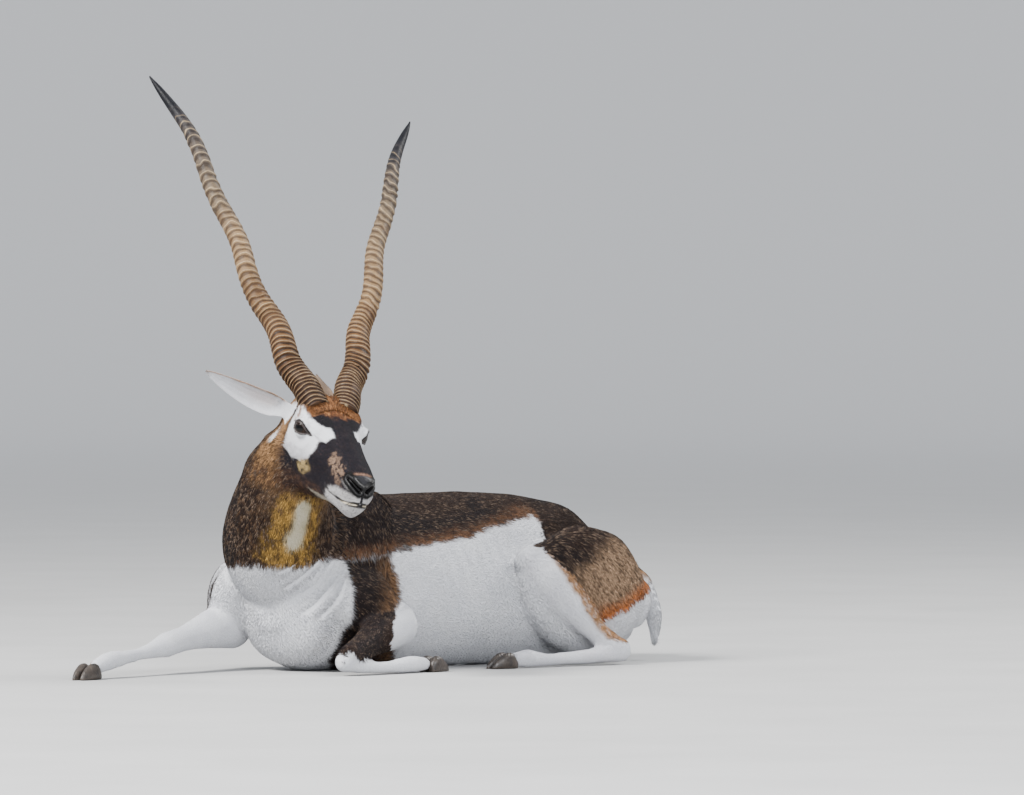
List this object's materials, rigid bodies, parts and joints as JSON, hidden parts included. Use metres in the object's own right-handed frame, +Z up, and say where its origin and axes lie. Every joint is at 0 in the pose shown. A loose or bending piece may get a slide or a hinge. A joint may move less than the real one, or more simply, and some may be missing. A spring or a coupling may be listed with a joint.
{
  "type": "lying blackbuck antelope model",
  "caption": "Life-size still model of a male blackbuck resting on its chest, head turned, with long ringed spiral horns.",
  "frame": {"origin": "on the floor, in the middle of the flat that the chest and belly rest on", "axes": "+X along the trunk towards the chest, +Y to the animal's left, +Z up"},
  "size_m": [1.1445, 0.5692, 0.946],
  "materials": {
    "dark_coat": "short flat dark brown hair",
    "white_coat": "short flat white hair",
    "tan_coat": "short flat tan hair",
    "horn": "ridged horn, satin",
    "hoof": "smooth dark hoof",
    "eye": "wet dark eye"
  },
  "bodies": {
    "root": {"ear_left": "white_coat", "ear_right": "white_coat", "eye_left": "eye", "eye_right": "eye", "foreleg_foot_left": "white_coat", "foreleg_foot_right": "white_coat", "foreleg_lower_left": "dark_coat", "foreleg_lower_right": "white_coat", "foreleg_upper_left": "dark_coat", "foreleg_upper_right": "white_coat", "head": "dark_coat", "hindleg_foot_left": "white_coat", "hindleg_foot_right": "white_coat", "hindleg_lower_left": "white_coat", "hindleg_lower_right": "white_coat", "hindleg_upper_left": "dark_coat", "hindleg_upper_right": "dark_coat", "hoof_foreleg_left_left": "hoof", "hoof_foreleg_left_right": "hoof", "hoof_foreleg_right_left": "hoof", "hoof_foreleg_right_right": "hoof", "hoof_hindleg_left_left": "hoof", "hoof_hindleg_left_right": "hoof", "hoof_hindleg_right_left": "hoof", "hoof_hindleg_right_right": "hoof", "horn_left": "horn", "horn_right": "horn", "neck": "dark_coat", "tail": "tan_coat", "torso": "dark_coat"}
  },
  "joints": []
}
